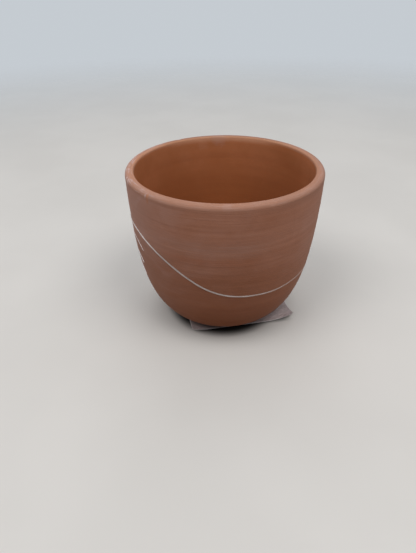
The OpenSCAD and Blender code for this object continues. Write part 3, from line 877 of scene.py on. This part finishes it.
def label_sheet(name, low, high, mat, inset=0.0):
    nx, ny = 121, 81
    hl, hw_ = LL / 2 - inset, LW / 2 - inset
    gx = np.linspace(-hl, hl, nx)
    gy = np.linspace(-hw_, hw_, ny)
    X, Y = np.meshgrid(gx, gy, indexing="ij")
    X, Y = X.copy(), Y.copy()
    # cut corners are slightly rounded, edges not perfectly straight
    for sx in (-1, 1):
        for sy in (-1, 1):
            rc = 2.4 if (sx, sy) == (1, -1) else 1.3
            ax, ay = sx * X - (hl - rc), sy * Y - (hw_ - rc)
            d = np.hypot(np.maximum(ax, 0), np.maximum(ay, 0))
            k = np.where((ax > 0) & (ay > 0) & (d > rc), rc / np.maximum(d, 1e-6), 1.0)
            X = np.where(k < 1, sx * (hl - rc + ax * k), X)
            Y = np.where(k < 1, sy * (hw_ - rc + ay * k), Y)
    Zl = label_lift(X, Y)
    wx = (X + DX) * math.cos(TURN) - (Y + DY) * math.sin(TURN)
    wy = (X + DX) * math.sin(TURN) + (Y + DY) * math.cos(TURN)
    top = np.stack([wx, wy, Zl + high], -1).reshape(-1, 3)
    bot = np.stack([wx, wy, Zl + low], -1).reshape(-1, 3)
    N = nx * ny
    idx = np.arange(N).reshape(nx, ny)
    Fc = []
    for i in range(nx - 1):
        for j in range(ny - 1):
            a, b, c, d = idx[i, j], idx[i + 1, j], idx[i + 1, j + 1], idx[i, j + 1]
            Fc.append((a, b, c, d))
            Fc.append((N + a, N + d, N + c, N + b))
    ring = list(idx[:, 0]) + list(idx[-1, 1:]) + list(idx[-2::-1, -1]) + list(idx[0, -2:0:-1])
    for a, b in zip(ring, ring[1:] + ring[:1]):
        Fc.append((b, a, N + a, N + b))
    ob = make(name, np.vstack([top, bot]), Fc, [mat], sharp=60)
    outward(ob)
    return ob


lab = label_sheet("base_label_paper", 0.0, PT, mat_paper)
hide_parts("base_label")
glue = label_sheet("label_adhesive_film", PT, PT + GT, mat_glue, 0.45)
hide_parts("label_adhesive")

# ---------------------------------------------------------------------------
# stage, light and camera
# ---------------------------------------------------------------------------
def floor_material():
    """Pale to the eye; what it throws back on to the pot is as dim and warm as a table top."""
    m = Nodes("pale_floor")
    pos = m.add("ShaderNodeTexCoord").outputs["Object"]
    nse = m.noise(m.scaled(pos, 9, 9, 9), 1.0, 3.0, 0.5)
    col = m.mix(m.ramp(nse, 0.35, 0.65), (0.70, 0.685, 0.665), (0.73, 0.715, 0.695))
    # painted shadow: the floor darkened round the foot, a tight dark ring inside a wider soft one
    col = painted_foot_shade(m, pos, col, 0.0285, 0.0358, 0.05)
    col = painted_foot_shade(m, pos, col, 0.029, 0.048, 0.78)
    # the label's own narrow shade under its lifted front edge
    sp = m.add("ShaderNodeSeparateXYZ")
    m.link(pos, sp.inputs[0])
    u = m.math("ADD", m.math("MULTIPLY", sp.outputs[0], math.cos(TURN)), m.math("MULTIPLY", sp.outputs[1], math.sin(TURN)))
    u = m.math("ABSOLUTE", m.math("SUBTRACT", u, DX * MM))
    v = m.math("ADD", m.math("MULTIPLY", sp.outputs[1], math.cos(TURN)), m.math("MULTIPLY", sp.outputs[0], -math.sin(TURN)))
    v = m.math("SUBTRACT", v, DY * MM)
    under = m.math("MULTIPLY", m.ramp(u, 0.0215, 0.0300, 1.0, 0.0), m.ramp(v, -0.010, -0.002, 1.0, 0.0))
    f = m.math("SUBTRACT", 1.0, m.math("MULTIPLY", under, m.ramp(v, -0.0226, -0.0198, 0.0, 0.60)))
    g = m.add("ShaderNodeCombineXYZ")
    for i in range(3):
        m.link(f, g.inputs[i])
    col = m.mix(1.0, col, g.outputs[0], "MULTIPLY")
    lp = m.add("ShaderNodeLightPath")
    col = m.mix(lp.outputs["Is Camera Ray"], FLOOR_BOUNCE, col)
    m.finish(col, 0.9, None, **{"Specular IOR Level": 0.1})
    # far off, the floor runs softly into the backdrop, as a studio sweep does
    sep = m.add("ShaderNodeSeparateXYZ")
    m.link(pos, sep.inputs[0])
    x, y, _ = sep.outputs
    r = m.math("SQRT", m.math("ADD", m.math("MULTIPLY", x, x), m.math("MULTIPLY", y, y)))
    far = m.math("MULTIPLY", m.ramp(r, 0.28, 1.10), lp.outputs["Is Camera Ray"])
    clear = m.add("ShaderNodeBsdfTransparent")
    both = m.add("ShaderNodeMixShader")
    out = next(n for n in m.t.nodes if n.type == "OUTPUT_MATERIAL")
    m.link(far, both.inputs[0])
    m.link(out.inputs[0].links[0].from_socket, both.inputs[1])
    m.link(clear.outputs[0], both.inputs[2])
    m.link(both.outputs[0], out.inputs[0])
    return m.mat


FLOOR_BOUNCE = (0.22, 0.120, 0.055)
me = bpy.data.meshes.new("floor")
S = 9.0
me.from_pydata([(-S, -S, 0), (S, -S, 0), (S, S, 0), (-S, S, 0)], [], [(0, 1, 2, 3)])
floor = bpy.data.objects.new("floor", me)
bpy.context.scene.collection.objects.link(floor)
me.materials.append(floor_material())

world = bpy.data.worlds.new("studio")
bpy.context.scene.world = world
world.use_nodes = True
wt = world.node_tree
wt.nodes.clear()
tc = wt.nodes.new("ShaderNodeTexCoord")
sp = wt.nodes.new("ShaderNodeSeparateXYZ")
wt.links.new(tc.outputs["Generated"], sp.inputs[0])


def wmath(op, a, b=0.0, clamp=False):
    n = wt.nodes.new("ShaderNodeMath")
    n.operation, n.use_clamp = op, clamp
    for i, v in enumerate((a, b)):
        if hasattr(v, "is_output"):
            wt.links.new(v, n.inputs[i])
        else:
            n.inputs[i].default_value = v
    return n.outputs[0]


# bright above, medium behind, dim in front
UP, BACK, SIDE, BASE_L = 0.38, 0.06, 0.0, 0.15
up = wmath("POWER", wmath("MAXIMUM", sp.outputs[2], 0.0), 1.0)
back = wmath("MULTIPLY", sp.outputs[1], BACK)
left = wmath("MULTIPLY", sp.outputs[0], -SIDE)
lum = wmath("MAXIMUM", wmath("ADD", wmath("ADD", wmath("MULTIPLY", up, UP), back), wmath("ADD", left, BASE_L)), 0.06)
bg = wt.nodes.new("ShaderNodeBackground")
bg.inputs[0].default_value = (0.97, 1.0, 1.03, 1)
wt.links.new(lum, bg.inputs[1])
# to the eye the backdrop is one pale tone
bg2 = wt.nodes.new("ShaderNodeBackground")
bg2.inputs[0].default_value = (0.56, 0.60, 0.64, 1)
bg2.inputs[1].default_value = 1.0
lp = wt.nodes.new("ShaderNodeLightPath")
mx = wt.nodes.new("ShaderNodeMixShader")
wt.links.new(lp.outputs["Is Camera Ray"], mx.inputs[0])
wt.links.new(bg.outputs[0], mx.inputs[1])
wt.links.new(bg2.outputs[0], mx.inputs[2])
wo = wt.nodes.new("ShaderNodeOutputWorld")
wt.links.new(mx.outputs[0], wo.inputs[0])


def area(name, loc, aim, size, power, color):
    l = bpy.data.lights.new(name, "AREA")
    l.shape, l.size, l.energy, l.color = "DISK", size, power, color
    o = bpy.data.objects.new(name, l)
    bpy.context.scene.collection.objects.link(o)
    o.location = loc
    o.rotation_euler = (Vector(aim) - Vector(loc)).to_track_quat("-Z", "Y").to_euler()
    return o


area("key_right", (0.50, -0.42, 1.05), (0, 0, 0.04), 0.7, 4.3, (1.0, 0.965, 0.92))
area("key_left", (-0.52, -0.40, 1.05), (0, 0, 0.04), 0.7, 4.3, (1.0, 0.965, 0.93))
area("rim_back", (0.0, 0.65, 1.05), (0, 0, 0.04), 0.7, 1.6, (0.98, 0.99, 1.0))

# camera: fitted to the rim, the outline and the label
yaw, pitch, roll = math.radians(-1.4858), math.radians(35.2822), math.radians(-0.9360)
fwd = Vector((math.sin(yaw) * math.cos(pitch), math.cos(yaw) * math.cos(pitch), -math.sin(pitch)))
right = Vector((math.cos(yaw), -math.sin(yaw), 0))
upv = right.cross(fwd)
r2 = right * math.cos(roll) + upv * math.sin(roll)
u2 = upv * math.cos(roll) - right * math.sin(roll)
cam = bpy.data.cameras.new("camera")
cam.sensor_width = 36
cam.lens = 414.4 / 553 * 36
cam.shift_y = -0.3 / 553
cam.clip_start, cam.clip_end = 0.01, 20
co = bpy.data.objects.new("camera", cam)
bpy.context.scene.collection.objects.link(co)
M = Matrix((r2, u2, -fwd)).transposed().to_4x4()
M.translation = Vector((-3.858, -204.237, 161.756)) * MM
co.matrix_world = M
bpy.context.scene.camera = co

vs = bpy.context.scene.view_settings
vs.view_transform, vs.look, vs.exposure, vs.gamma = "Standard", "None", 0.0, 1.0

bpy.context.view_layer.update()
